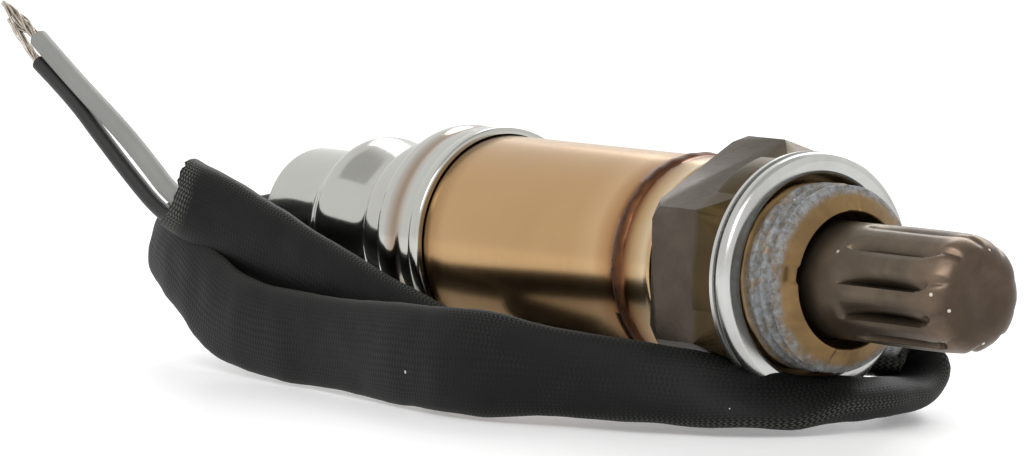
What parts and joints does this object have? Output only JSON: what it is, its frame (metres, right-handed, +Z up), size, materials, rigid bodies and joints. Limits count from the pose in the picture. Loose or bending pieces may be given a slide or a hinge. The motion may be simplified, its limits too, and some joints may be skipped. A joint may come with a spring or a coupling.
{
  "type": "oxygen sensor",
  "caption": "Screw-in exhaust oxygen sensor with louvred shield tube, hexagon shell, sealing ring, barrel, rear cap and folded woven sleeving with bared leads.",
  "frame": {"origin": "centre of the seat behind the thread, which the sealing ring presses against", "axes": "+X along the sensor towards the probe tip, +Z up as the sensor lies on its folded sleeving"},
  "size_m": [0.1381, 0.0445, 0.0356],
  "materials": {
    "shell_steel": "dull forged steel, heat tinted",
    "ring_steel": "bright plated ring",
    "shield_steel": "brown heat-tinted satin steel",
    "barrel_steel": "polished steel with straw heat tint",
    "cap_steel": "bright polished steel",
    "ceramic": "matt technical ceramic",
    "packing": "pressed talc",
    "contact_metal": "nickel-plated contact parts",
    "grommet_rubber": "matt black rubber",
    "sleeving": "black varnished woven sleeving",
    "grey_insulation": "grey wire insulation",
    "black_insulation": "black wire insulation",
    "tinned_copper": "tinned copper strands"
  },
  "bodies": {
    "root": {"hex_shell": "shell_steel", "crush_gasket": "ring_steel", "shield_tube": "shield_steel", "zirconia_cell": "ceramic", "seat_washer": "contact_metal", "talc_packing": "packing", "clamp_ring": "contact_metal", "contact_bush": "contact_metal", "support_tube": "ceramic", "contact_pin": "contact_metal", "disc_spring": "contact_metal", "barrel_sleeve": "barrel_steel", "ground_ring": "contact_metal", "insulator": "ceramic", "signal_crimp": "contact_metal", "ground_crimp": "contact_metal", "rear_cap": "cap_steel", "cable_grommet": "grommet_rubber", "sleeve_exit": "sleeving", "sleeve_left_fold": "sleeving", "sleeve_front": "sleeving", "sleeve_twist": "sleeving", "sleeve_under": "sleeving", "sleeve_right_fold": "sleeving", "sleeve_return": "sleeving", "sleeve_rise": "sleeving", "sleeve_end": "sleeving", "sleeve_mouth": "sleeving", "grey_wire": "grey_insulation", "black_wire": "black_insulation", "grey_strands": "tinned_copper", "black_strands": "tinned_copper"}
  },
  "joints": []
}
